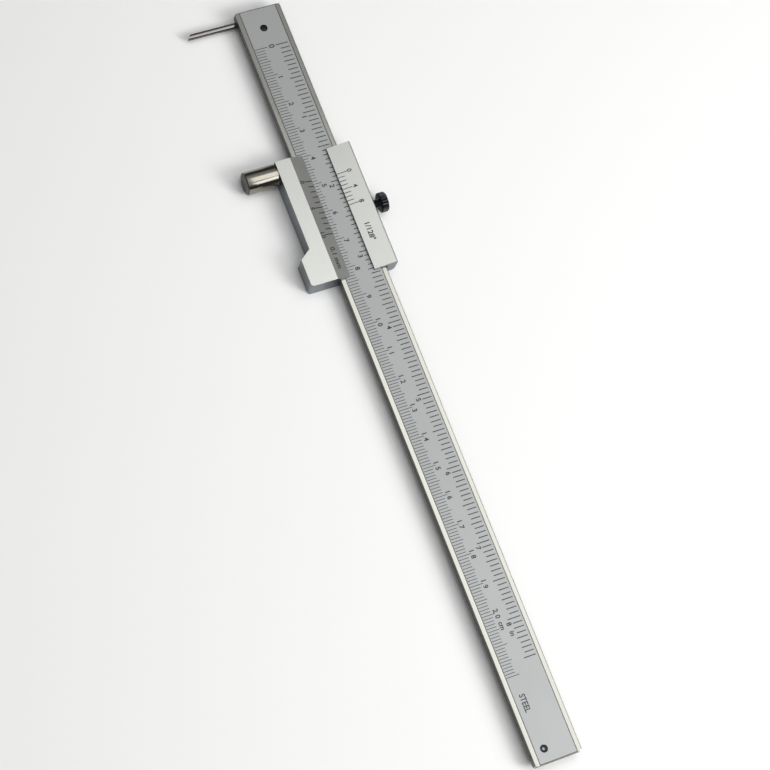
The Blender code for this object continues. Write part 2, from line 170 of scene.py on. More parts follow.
class Edit:
    """One visit to edit mode on one piece, with everything else deselected."""

    def __init__(self, piece: bpy.types.Object) -> None:
        """Remember the piece.

        Args:
            piece: The mesh object that is shaped.
        """
        self.piece = piece

    def __enter__(self) -> "Edit":
        """Enter edit mode with nothing selected.

        Returns:
            This visit.
        """
        Bench.only(self.piece)
        bpy.ops.object.mode_set(mode="EDIT")
        bpy.ops.mesh.select_all(action="DESELECT")
        return self

    def __exit__(
        self, kind: type | None, error: BaseException | None, trace: TracebackType | None
    ) -> None:
        """Leave edit mode."""
        bpy.ops.object.mode_set(mode="OBJECT")

    def everything(self) -> "Edit":
        """Select the whole mesh."""
        bpy.ops.mesh.select_all(action="SELECT")
        return self

    def pick(
        self, mode: str, parts: str, wanted: Callable[..., bool], judged_by: Callable[[Any], tuple[Vector, ...]]
    ) -> "Edit":
        """Select parts of the mesh by their place.

        Args:
            mode: The select mode.
            parts: The mesh's list of those parts.
            wanted: Takes what a part is judged by, and says whether it is selected.
            judged_by: Gives what a part is judged by.

        Returns:
            This visit, so that a tool can follow.
        """
        bpy.ops.mesh.select_mode(type=mode)
        bpy.ops.mesh.select_all(action="DESELECT")
        shape = bmesh.from_edit_mesh(self.piece.data)
        for part in getattr(shape, parts):
            part.select_set(wanted(*judged_by(part)))
        bmesh.update_edit_mesh(self.piece.data)
        return self

    def faces(self, wanted: Callable[[Vector, Vector], bool]) -> "Edit":
        """Select faces by their middle and normal."""
        return self.pick("FACE", "faces", wanted, lambda face: (face.calc_center_median(), face.normal))

    def edges(self, wanted: Callable[[Vector, Vector], bool]) -> "Edit":
        """Select edges by their two ends."""
        return self.pick("EDGE", "edges", wanted, lambda edge: (edge.verts[0].co, edge.verts[1].co))

    def points(self, wanted: Callable[[Vector], bool]) -> "Edit":
        """Select points by their place."""
        return self.pick("VERT", "verts", wanted, lambda point: (point.co,))

    def extrude(self, along: Point) -> "Edit":
        """Extrude the selected faces along a vector."""
        bpy.ops.mesh.extrude_region_move(TRANSFORM_OT_translate={"value": tuple(along)})
        return self

    def move(self, along: Point) -> "Edit":
        """Move what is selected."""
        bpy.ops.transform.translate(value=tuple(along))
        return self

    def scale(self, by: Point, about: Point) -> "Edit":
        """Scale what is selected about a point."""
        bpy.ops.transform.resize(value=tuple(by), center_override=tuple(about))
        return self

    def inset(self, width: float, depth: float = 0.0) -> "Edit":
        """Inset the selected faces."""
        bpy.ops.mesh.inset(thickness=width, depth=depth)
        return self

    def bevel(self, width: float, segments: int = 2) -> "Edit":
        """Bevel the selected edges."""
        bpy.ops.mesh.bevel(offset=width, segments=segments, affect="EDGES", clamp_overlap=True)
        return self

    def score(self, place: Point, normal: Point) -> "Edit":
        """Run an edge right round the mesh where a plane meets it.

        Args:
            place: A point on the plane.
            normal: The plane's normal.

        Returns:
            This visit.
        """
        self.everything()
        bpy.ops.mesh.bisect(plane_co=tuple(place), plane_no=tuple(normal), threshold=HAIR)
        return self

    def saw(self, place: Point, normal: Point, fill: bool = True) -> "Edit":
        """Cut off everything on the side of a plane that its normal points to.

        Args:
            place: A point on the plane.
            normal: The plane's normal.
            fill: Whether the cut is closed with a face.

        Returns:
            This visit.
        """
        self.everything()
        bpy.ops.mesh.bisect(
            plane_co=tuple(place), plane_no=tuple(normal), use_fill=fill, clear_outer=True, threshold=HAIR
        )
        return self

    def tidy(self, flat: bool = False, gap: float = HAIR) -> "Edit":
        """Merge doubled points and turn every face outwards.

        Args:
            flat: Whether faces in one plane are joined too.
            gap: How close two points are merged.

        Returns:
            This visit.
        """
        self.everything()
        bpy.ops.mesh.remove_doubles(threshold=gap)
        if flat:
            self.everything()
            bpy.ops.mesh.dissolve_limited(angle_limit=math.radians(0.5))
        self.everything()
        bpy.ops.mesh.normals_make_consistent(inside=False)
        return self


class Bench:
    """Ways to start, cut, copy and finish a piece."""

    @staticmethod
    def only(piece: bpy.types.Object) -> None:
        """Select one object alone.

        Args:
            piece: The object.
        """
        bpy.ops.object.select_all(action="DESELECT")
        piece.select_set(True)
        bpy.context.view_layer.objects.active = piece

    @staticmethod
    def fix(piece: bpy.types.Object) -> None:
        """Put a piece's place, turn and size into its mesh."""
        Bench.only(piece)
        bpy.ops.object.transform_apply(location=True, rotation=True, scale=True)

    @staticmethod
    def settle(name: str) -> bpy.types.Object:
        """Name the new primitive and put its place and turn into its mesh.

        Args:
            name: The piece's name.

        Returns:
            The piece.
        """
        piece = bpy.context.view_layer.objects.active
        piece.name = name
        piece.data.name = name
        Bench.fix(piece)
        return piece

    @staticmethod
    def block(name: str, low: Point, high: Point) -> bpy.types.Object:
        """Start a piece as a rectangular block.

        Args:
            name: The piece's name.
            low: Its lowest corner.
            high: Its highest corner.

        Returns:
            The block.
        """
        low, high = Vector(low), Vector(high)
        bpy.ops.object.select_all(action="DESELECT")
        bpy.ops.mesh.primitive_cube_add(size=1.0, location=(low + high) / 2, scale=high - low)
        return Bench.settle(name)

    @staticmethod
    def turned(
        name: str, axis: Axis, centre: Point, profile: Iterable[Point], sides: int
    ) -> bpy.types.Object:
        """Turn a round piece up from a disc, step by step along its profile.

        Args:
            name: The piece's name.
            axis: What it is turned about.
            centre: A point on its axis.
            profile: Places along the axis, each with its radius.
            sides: How many sides its circle has.

        Returns:
            The piece, closed at both ends.
        """
        steps = list(profile)
        place = Vector(centre)
        place[axis.value] = steps[0][0]
        quarter = math.radians(90)
        turn = {Axis.X: (0.0, quarter, 0.0), Axis.Y: (-quarter, 0.0, 0.0), Axis.Z: (0.0, 0.0, 0.0)}[axis]
        bpy.ops.object.select_all(action="DESELECT")
        bpy.ops.mesh.primitive_circle_add(
            vertices=sides, radius=steps[0][1], fill_type="NGON", location=place, rotation=turn
        )
        piece = Bench.settle(name)
        with Edit(piece) as edit:
            edit.everything()
            for (was, before), (now, after) in zip(steps, steps[1:]):
                step = Vector((0.0, 0.0, 0.0))
                step[axis.value] = now - was
                grow = Vector((1.0, 1.0, 1.0)) * (after / before)
                grow[axis.value] = 1.0
                place[axis.value] = now
                edit.extrude(step).scale(grow, place)
            edit.tidy()
        return piece

    @staticmethod
    def copy(piece: bpy.types.Object, along: Point) -> bpy.types.Object:
        """Copy a piece with a mesh of its own, and move the copy.

        Args:
            piece: What is copied.
            along: How far the copy goes.

        Returns:
            The copy.
        """
        twin = piece.copy()
        twin.data = piece.data.copy()
        bpy.context.scene.collection.objects.link(twin)
        twin.location = Vector(along)
        Bench.fix(twin)
        return twin

    @staticmethod
    def join(name: str, pieces: Sequence[bpy.types.Object]) -> bpy.types.Object:
        """Join several pieces into one.

        Args:
            name: The joined piece's name.
            pieces: What is joined.

        Returns:
            The joined piece.
        """
        Bench.only(pieces[0])
        for piece in pieces[1:]:
            piece.select_set(True)
        if len(pieces) > 1:
            bpy.ops.object.join()
        joined = bpy.context.view_layer.objects.active
        joined.name = name
        joined.data.name = name
        return joined

    @staticmethod
    def apply(piece: bpy.types.Object, kind: str, **settings: Any) -> None:
        """Add a modifier to a piece and apply it.

        Args:
            piece: The piece.
            kind: The modifier's type.
            settings: The modifier's settings.
        """
        Bench.only(piece)
        modifier = piece.modifiers.new(kind.lower(), kind)
        for key, value in settings.items():
            setattr(modifier, key, value)
        bpy.ops.object.modifier_apply(modifier=modifier.name)

    @staticmethod
    def cut(piece: bpy.types.Object, tool: bpy.types.Object) -> None:
        """Cut one shape out of a piece, and throw the cutting shape away.

        Args:
            piece: What is cut.
            tool: The shape that is cut out.
        """
        Bench.apply(piece, "BOOLEAN", operation="DIFFERENCE", solver="EXACT", object=tool)
        bpy.data.objects.remove(tool, do_unlink=True)

    @staticmethod
    def bore(
        piece: bpy.types.Object, axis: Axis, centre: Point, profile: Iterable[Point], sides: int
    ) -> None:
        """Cut a turned shape out of a piece."""
        Bench.cut(piece, Bench.turned("bore", axis, centre, profile, sides))

    @staticmethod
    def break_edges(piece: bpy.types.Object, width: float) -> None:
        """Break every sharp edge of a machined piece.

        Args:
            piece: The piece.
            width: The width of the broken edge.
        """
        Bench.apply(
            piece, "BEVEL", width=width, segments=2, limit_method="ANGLE",
            angle_limit=math.radians(CREASE), miter_outer="MITER_ARC", use_clamp_overlap=True,
        )
        with Edit(piece) as edit:
            edit.tidy(gap=width / 20)
        Bench.smooth(piece, 50, flats=True)

    @staticmethod
    def smooth(piece: bpy.types.Object, degrees: float, flats: bool = False) -> None:
        """Shade a piece smooth where its faces meet at less than an angle.

        Args:
            piece: The piece.
            degrees: The angle.
            flats: Whether its flats are also kept flat under the light.
        """
        Bench.only(piece)
        bpy.ops.object.shade_smooth_by_angle(angle=math.radians(degrees))
        if flats:
            Bench.apply(piece, "WEIGHTED_NORMAL", mode="FACE_AREA", weight=50, keep_sharp=True)

    @staticmethod
    def set_down(piece: bpy.types.Object) -> None:
        """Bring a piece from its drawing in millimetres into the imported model's frame.

        Args:
            piece: The piece.
        """
        piece.scale = (MM, MM, MM)
        piece.location = ZERO
        Bench.fix(piece)


def thread(
    start: float, end: float, radius: float, pitch: float, depth: float
) -> list[tuple[float, float]]:
    """Lay out a thread as rings, crest and root by turns, that ends on a crest.

    Args:
        start: The place of the first crest.
        end: The place that every full turn stays short of.
        radius: The crests' radius.
        pitch: The distance between crests.
        depth: How deep the roots are.

    Returns:
        Places along the axis, each with its radius.
    """
    rings, place = [], start
    while place + pitch < end:
        rings += [(place, radius), (place + pitch / 2, radius - depth)]
        place += pitch
    return [*rings, (place, radius)]


def hand_over(
    piece: bpy.types.Object, body: Body, slot: Slot | None, finishes: Sequence[bpy.types.Material],
    *nodes: str,
) -> None:
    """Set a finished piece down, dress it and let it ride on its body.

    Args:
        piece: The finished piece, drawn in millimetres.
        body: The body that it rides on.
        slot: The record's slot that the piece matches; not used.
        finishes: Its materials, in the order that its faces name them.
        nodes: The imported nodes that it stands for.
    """
    Bench.set_down(piece)
    for finish in finishes:
        piece.data.materials.append(finish)
    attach(piece, body.value)
    if nodes:
        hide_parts(*nodes)
    LOG.info("%s rides on %s, %d faces", piece.name, body.value, len(piece.data.polygons))


# ---- Finishes ----


def linear(colour: str) -> tuple[float, float, float, float]:
    """Turn an sRGB hex colour into the linear colour that a shader takes.

    Args:
        colour: The colour, as #RRGGBB.

    Returns:
        Its linear red, green and blue, and full opacity.
    """
    parts = [int(colour[place:place + 2], 16) / 255 for place in (1, 3, 5)]
    red, green, blue = (c / 12.92 if c <= 0.04045 else ((c + 0.055) / 1.055) ** 2.4 for c in parts)
    return (red, green, blue, 1.0)


def add_node(
    tree: bpy.types.NodeTree, kind: str, settings: dict[str, Any] | None = None,
    links: dict[str, bpy.types.NodeSocket] | None = None,
) -> bpy.types.Node:
    """Add a node with its settings and links.

    Args:
        tree: The node tree.
        kind: The node's type.
        settings: Values for its sockets, by name or number, and for its own properties.
        links: The sockets that feed its inputs, by input name or number.

    Returns:
        The node.
    """
    node = tree.nodes.new(kind)
    for key, value in (settings or {}).items():
        if hasattr(node, str(key)):
            setattr(node, key, value)
        else:
            node.inputs[int(key) if key.isdigit() else key].default_value = value
    for key, source in (links or {}).items():
        tree.links.new(source, node.inputs[int(key) if key.isdigit() else key])
    return node


@dataclass(frozen=True)
class Metal:
    """A metal surface: its colour, its polish, and the grain that the last tool left on it."""

    name: str
    dark: str
    light: str
    smoothest: float
    roughest: float
    grain: tuple[float, float, float]      # length of the grain along X, Y and Z, in millimetres
    relief: float = 0.0                    # height of the grain, in millimetres
    cloud: float = 12.0                    # size of the slow unevenness of the polish, in millimetres
    metallic: float = 1.0                  # 1 for bare metal, 0 for paint
    cloud_share: float = 0.35              # how much of that unevenness shows against the grain

    def make(self) -> bpy.types.Material:
        """Build the material.

        Returns:
            The material.
        """
        material = bpy.data.materials.new(self.name)
        material.use_nodes = True
        tree = material.node_tree
        tree.nodes.clear()
        coords = add_node(tree, "ShaderNodeTexCoord")
        fine_map = add_node(
            tree, "ShaderNodeMapping", {"Scale": tuple(1 / (size * MM) for size in self.grain)},
            {"Vector": coords.outputs["Object"]},
        )
        fine = add_node(
            tree, "ShaderNodeTexNoise", {"Scale": 1.0, "Detail": 3.0, "Roughness": 0.6},
            {"Vector": fine_map.outputs["Vector"]},
        )
        slow = add_node(
            tree, "ShaderNodeTexNoise", {"Scale": 1 / (self.cloud * MM), "Detail": 2.0, "Roughness": 0.5},
            {"Vector": coords.outputs["Object"]},
        )
        blend = add_node(
            tree, "ShaderNodeMix", {"data_type": "FLOAT", "Factor": self.cloud_share},
            {"2": fine.outputs["Fac"], "3": slow.outputs["Fac"]},
        )
        colour = add_node(
            tree, "ShaderNodeMix", {"data_type": "RGBA", "6": linear(self.dark), "7": linear(self.light)},
            {"0": blend.outputs[0]},
        )
        polish = add_node(
            tree, "ShaderNodeMapRange",
            {"From Min": 0.3, "From Max": 0.7, "To Min": self.smoothest, "To Max": self.roughest},
            {"Value": blend.outputs[0]},
        )
        shader = add_node(
            tree, "ShaderNodeBsdfPrincipled", {"Metallic": self.metallic},
            {"Base Color": colour.outputs[2], "Roughness": polish.outputs["Result"]},
        )
        if self.relief:
            bump = add_node(
                tree, "ShaderNodeBump", {"Strength": 1.0, "Distance": self.relief * MM},
                {"Height": fine.outputs["Fac"]},
            )
            tree.links.new(bump.outputs["Normal"], shader.inputs["Normal"])
        add_node(tree, "ShaderNodeOutputMaterial", None, {"Surface": shader.outputs["BSDF"]})
        return material


class Finishes:
    """Every finish of the gauge, each made once."""

    def __init__(self) -> None:
        """Make the materials."""
        # Stainless steel, drawn along its length and etched: soft, a little lighter where the etch is fine.
        # The drawing lines are 0.05 mm apart, and are drawn 0.35 mm apart so that they show at all.
        self.scale_face = Metal(
            "etched_stainless_steel", "#A3A5A4", "#B5B7B6", 0.58, 0.68, (9.0, 0.35, 0.35), 0.0015
        ).make()
        # The same steel, surface ground along its edges: a closer, brighter surface with long streaks.
        self.ground = Metal(
            "surface_ground_stainless_steel", "#94948D", "#AAAAA3", 0.18, 0.26, (25.0, 0.4, 0.4), 0.0008
        ).make()
        # The same steel, sawn and ground without polish, for the beam's long edges, ends and grooves
        # and for the pin's end: its colour is darkened below the lands as painted shade on those faces and in
        # the grooves.
        self.sawn = Metal(
            "sawn_stainless_edge_with_painted_shade", "#504F4C", "#5C5B57", 0.30, 0.42, (3.0, 0.4, 0.4), 0.001
        ).make()
        # Bead-blasted satin chrome plate: an even, fine, pearly grain without direction.
        self.chrome = Metal(
            "satin_chrome_plate", "#B8B9B4", "#C4C5C0", 0.36, 0.44, (0.45, 0.45, 0.45), 0.0012
        ).make()
        # The slider's sides and the floor of the stop screw, milled and left without plate, with short cutter
        # marks across them. On the slider's sides its darkened colour is painted shade beside the lit chrome.
        self.milled = Metal(
            "milled_side_with_painted_shade", "#767A80", "#878B91", 0.30, 0.42, (0.4, 2.5, 0.4), 0.001
        ).make()
        # Hardened steel, cylindrically ground and polished: fine rings round the pin.
        self.polished = Metal(
            "ground_and_polished_steel_rod", "#8A867C", "#9D998F", 0.08, 0.16, (30.0, 0.45, 30.0), 0.0006
        ).make()
        # Hardened steel wire, drawn and polished: fine lines along the needle.
        self.needle = Metal(
            "drawn_hardened_steel_wire", "#6E6C69", "#807E7B", 0.08, 0.16, (0.3, 12.0, 0.3), 0.0004
        ).make()
        # Mild steel plate, milled and left bare: short marks across it.
        self.plate = Metal(
            "milled_steel_plate", "#9A9A98", "#ABABA8", 0.28, 0.40, (0.4, 4.0, 4.0), 0.001
        ).make()
        # Steel screw, blackened in hot salts and oiled: near black with a soft blue-grey gleam on its edges.
        self.black = Metal(
            "black_oxide_steel", "#1E1E20", "#3A3A3E", 0.32, 0.46, (0.5, 0.5, 0.5), 0.0015, cloud=2.0
        ).make()
        # Steel knob head, knurled and blackened: near black, a little greyer in uneven patches.
        self.knob = Metal(
            "knurled_black_oxide_steel", "#1A1A1C", "#454549", 0.26, 0.42, (0.6, 0.6, 0.6), 0.0015, cloud=1.5
        ).make()
        # Spring steel, rolled and tempered to a deep blue: dark, even and slightly blue.
        self.spring = Metal(
            "blue_tempered_spring_steel", "#3B3F48", "#4E535D", 0.25, 0.35, (8.0, 0.4, 0.4), 0.0006
        ).make()
        # Turned brass: warm, with fine rings.
        self.brass = Metal(
            "turned_brass", "#C9A95F", "#DABB72", 0.22, 0.32, (2.0, 0.3, 2.0), 0.0008
        ).make()
        # Black enamel rubbed into the engraved lines: matt, patchy where it has worn.
        self.enamel = Metal(
            "rubbed_in_black_enamel", "#1B1B1C", "#39393A", 0.50, 0.65, (0.8, 0.8, 0.8), metallic=0.0, cloud=5.0
        ).make()
        # Painted plywood of a studio table: pale and even.
        self.floor = Metal(
            "matt_white_painted_table", "#ECECEA", "#EFEFED", 0.75, 0.85, (60.0, 60.0, 60.0), metallic=0.0,
            cloud=400.0,
        ).make()


# ---- Engraved marks ----


@dataclass
class Engraver:
    """Cuts enamel-filled lines and figures. A mark is drawn flat, a hair proud of the face it lies on."""

    line_width: float = 0.2
    sunk: float = 0.03              # how deep a filled mark goes below the face
    proud: float = 0.012            # how far its filling stands above it
    cap_height: float = 0.71        # height of the built-in font's figures for a text size of 1
    bold: float = 0.058             # how much a figure's strokes are thickened
    round_end: float = 0.9          # how round a line's ends are, 1 being a half circle

    def line(self, name: str, x: float, start: float, end: float) -> bpy.types.Object:
        """Cut one line across the scale, its two ends rounded as a cutter leaves them.

        Args:
            name: The line's name.
            x: Its place along the scale.
            start: Where it starts across the scale.
            end: Where it ends.

        Returns:
            The line.
        """
        half = self.line_width / 2
        low, high = sorted((start, end))
        piece = Bench.block(name, (x - half, low, -self.sunk), (x + half, high, self.proud))
        with Edit(piece) as edit:
            edit.edges(lambda a, b: abs(a.z - b.z) > HAIR).bevel(half * self.round_end, 2)
        return piece

    def row(
        self, name: str, zero: float, pitch: float, start: float, lengths: Sequence[float], total: int
    ) -> bpy.types.Object:
        """Cut a row of lines whose lengths repeat.

        Args:
            name: The row's name.
            zero: The place of its first line.
            pitch: The distance between lines.
            start: Where every line starts across the scale.
            lengths: The lengths of the lines that repeat, negative towards -Y.
            total: How many lines the row has.

        Returns:
            The row as one piece.
        """
        master = self.line(f"{name}_line", zero, start, start + lengths[0])
        group = [master]
        for number, length in enumerate(lengths[1:], start=1):
            twin = Bench.copy(master, (number * pitch, 0.0, 0.0))
            middle = start + lengths[0] / 2
            sign = 1 if length > 0 else -1
            with Edit(twin) as edit:
                edit.points(lambda p: (p.y - middle) * sign > 0).move((0.0, length - lengths[0], 0.0))
            group.append(twin)
        row = Bench.join(name, group)
        rounds = math.ceil(total / len(lengths))
        if rounds > 1:
            Bench.apply(
                row, "ARRAY", count=rounds, use_relative_offset=False, use_constant_offset=True,
                constant_offset_displace=(pitch * len(lengths), 0.0, 0.0),
            )
            with Edit(row) as edit:
                edit.saw((zero + (total - 0.5) * pitch, 0.0, 0.0), (1.0, 0.0, 0.0), fill=False)
        return row

    def word(self, text: str, centre: Point, height: float, squeeze: float = 1.0) -> bpy.types.Object:
        """Cut a figure or a short word, upright with X to the right and Y up.

        Args:
            text: What it says.
            centre: Its middle across and along the scale.
            height: The height of a figure in it.
            squeeze: How wide it is against the font's own width.

        Returns:
            The word as a mesh.
        """
        bpy.ops.object.select_all(action="DESELECT")
        bpy.ops.object.text_add(location=(0.0, 0.0, 0.0))
        piece = bpy.context.view_layer.objects.active
        piece.data.body = text
        piece.data.size = height / self.cap_height
        piece.data.extrude = (self.sunk + self.proud) / 2
        piece.data.offset = self.bold
        piece.data.resolution_u = 3
        Bench.only(piece)
        bpy.ops.object.convert(target="MESH")
        piece = bpy.context.view_layer.objects.active
        corners = [Vector(corner) for corner in piece.bound_box]
        middle = sum(corners, Vector()) / len(corners)
        piece.scale = (squeeze, 1.0, 1.0)
        piece.location = (
            centre[0] - middle.x * squeeze, centre[1] - middle.y, (self.proud - self.sunk) / 2
        )
        piece = Bench.settle(f"word_{text}")
        with Edit(piece) as edit:
            edit.tidy()
        return piece

    def words(self, name: str, items: Iterable[tuple[str, float, float, float]]) -> bpy.types.Object:
        """Cut several figures as one piece.

        Args:
            name: The piece's name.
            items: Each one's text, its middle along and across, and its height.

        Returns:
            The joined figures.
        """
        return Bench.join(name, [self.word(text, (x, y), height) for text, x, y, height in items])


@dataclass(frozen=True)
class Slope:
    """A sloped face of the slider, from the tip that meets the scale to its top."""

    tip_y: float
    tip_z: float
    top_y: float
    top_z: float

    @property
    def angle(self) -> float:
        """The slope's angle about X."""
        side = 1 if self.top_y > self.tip_y else -1
        return side * math.atan2(self.top_z - self.tip_z, abs(self.top_y - self.tip_y))

    def height(self, y: float) -> float:
        """The height of the sloped plane at a place across the slider."""
        return self.tip_z + (y - self.tip_y) * math.tan(self.angle)

    def lay(self, piece: bpy.types.Object) -> bpy.types.Object:
        """Lay marks on the slope that were drawn flat, with Y measured from the tip.

        Args:
            piece: The marks.

        Returns:
            The same marks, on the slope.
        """
        piece.rotation_euler = (self.angle, 0.0, 0.0)
        piece.location = (0.0, self.tip_y, self.tip_z)
        Bench.fix(piece)
        return piece


# ---- The beam ----


@dataclass
class Beam:
    """The scaled bar: a satin scale face between two ground lands, with its lines and figures."""

    finishes: Finishes
    engraver: Engraver = field(default_factory=Engraver)
    corner: float = 0.8
    edge: float = 0.35
    land: float = 1.55              # width of the bright land along each edge
    groove_width: float = 0.25
    groove_depth: float = 0.15
    clamp_screw: tuple[float, float] = (-6.85, 7.7)
    stop_screw: tuple[float, float] = (243.7, 4.7)
    dowel: tuple[float, float] = (-6.85, 12.6)
    screw_radius: float = 1.2
    rim: float = 0.05
    dowel_radius: float = 0.85
    dowel_depth: float = 1.75

    def bar(self) -> bpy.types.Object:
        """Shape the bar.

        Returns:
            The bar.
        """
        box = Box.of("beam")
        bar = Bench.block("beam_bar", box.low, box.high)
        width = box.high.y - box.low.y
        lands = (self.land, self.land + self.groove_width)
        lines = [*lands, *(width - place for place in lands)]
        top = box.high.z
        with Edit(bar) as edit:
            edit.edges(lambda a, b: abs(a.z - b.z) > 1).bevel(self.corner, 6)
            edit.edges(lambda a, b: abs(a.z - b.z) < HAIR).bevel(self.edge, 2)
            for y in lines:
                edit.score((0.0, y, 0.0), (0.0, 1.0, 0.0))
            edit.faces(
                lambda m, n: n.z > 0.99
                and (lines[0] < m.y < lines[1] or lines[3] < m.y < lines[2])
                and m.z > top - HAIR
            ).extrude((0.0, 0.0, -self.groove_depth))
            edit.tidy()
        x, z = NEEDLE_PLACE
        groove = [(-2 * OVERRUN, NEEDLE_GROOVE), (width + 2 * OVERRUN, NEEDLE_GROOVE)]
        Bench.bore(bar, Axis.Y, (x, 0.0, z), groove, 48)
        low, rim = box.low.z, self.screw_radius + self.rim
        hole = [
            (low - OVERRUN, self.screw_radius), (top - self.rim, self.screw_radius),
            (top, rim), (top + OVERRUN, rim),
        ]
        for x, y in (self.clamp_screw, self.stop_screw):
            Bench.bore(bar, Axis.Z, (x, y, 0.0), hole, 32)
        blind = [(low - OVERRUN, self.dowel_radius), (low + self.dowel_depth, self.dowel_radius)]
        Bench.bore(bar, Axis.Z, (*self.dowel, 0.0), blind, 24)
        Bench.smooth(bar, 30, flats=True)
        # The beam's long edges, its ends and the grooves take the darker edge steel: painted shade on the sides
        # and in the grooves.
        for face in bar.data.polygons:
            y, z, normal = face.center.y, face.center.z, face.normal
            sunk = top - 2 * self.groove_depth < z < top - HAIR
            in_groove = sunk and lines[0] - HAIR < y < lines[2] + HAIR
            takes_painted_shade = abs(normal.y) > 0.9 or abs(normal.x) > 0.9 or in_groove
            on_scale = normal.z > 0.99 and lines[1] < y < lines[3]
            face.material_index = 2 if takes_painted_shade else 1 if on_scale else 0
        return bar

    def metric(self) -> list[bpy.types.Object]:
        """Cut the millimetre scale and its figures.

        Returns:
            The lines and the figures.
        """
        base, short, middle, long = 1.85, 3.3, 3.9, 4.5
        decade = [long, *[short] * 4, middle, *[short] * 4]
        lines = self.engraver.row("millimetre_lines", 0.0, 1.0, base, decade, 221)
        row, height, after, before = 6.75, 1.6, 1.25, 0.7
        items = [("0", 0.0, 7.9, 1.9)]
        for number in range(1, 21):
            tens, ones = divmod(number, 10)
            items.append((str(ones), number * 10 + after, row, height))
            if tens:
                items.append((str(tens), number * 10 - before, row, height))
        items.append(("cm", 204.3, 6.6, height))
        return [lines, self.engraver.words("millimetre_figures", items)]

    def inch(self) -> list[bpy.types.Object]:
        """Cut the inch scale in sixteenths, and its figures.

        Returns:
            The lines and the figures.
        """
        base, height = 13.65, 1.6
        lengths = [-3.2] * 16
        for step, length in ((2, -3.5), (4, -3.8), (8, -4.1), (16, -4.4)):
            for place in range(0, 16, step):
                lengths[place] = length
        heavy = Engraver(line_width=0.3)
        lines = heavy.row("inch_lines", 0.0, INCH / 16, base, lengths, 137)
        items = [(str(number), number * INCH + 1.4, 9.2, height) for number in range(1, 9)]
        items.append(("in", 207.6, 9.1, height))
        return [lines, self.engraver.words("inch_figures", items)]

    def build(self) -> None:
        """Build the beam and dress it."""
        steel = [self.finishes.ground, self.finishes.scale_face, self.finishes.sawn]
        hand_over(self.bar(), Body.BEAM, Slot.SCALE, steel, "beam")
        for marks in (*self.metric(), *self.inch()):
            hand_over(marks, Body.BEAM, None, [self.finishes.enamel])
        word = self.engraver.word("STEEL", (228.9, 4.5), 1.9, 0.86)
        word.name = "material_word"
        hand_over(word, Body.BEAM, None, [self.finishes.enamel])


# ---- The needle and what holds it ----


@dataclass
class Needle:
    """The round scriber, its end ground off obliquely."""

    finishes: Finishes
    slope: float = 0.73             # rise of the oblique end for each unit across it
    tail_chamfer: float = 0.3

    def build(self) -> None:
        """Build the needle and dress it."""
        box = Box.of("scriber")
        radius = (box.high.z - box.low.z) / 2
        middle = box.middle
        tip, tail = box.low.y, box.high.y
        profile = [
            (tip, radius), (tail - self.tail_chamfer, radius),
            (tail - 0.1, radius - 0.16), (tail, radius - self.tail_chamfer),
        ]
        needle = Bench.turned("scriber_needle", Axis.Y, middle, profile, 48)
        with Edit(needle) as edit:
            point = (middle.x + radius, tip, middle.z)
            edit.saw(point, (-self.slope, -1.0, 0.0))
            edit.tidy()
        Bench.smooth(needle, 30)
        hand_over(needle, Body.NEEDLE, Slot.NEEDLE, [self.finishes.needle], "scriber")


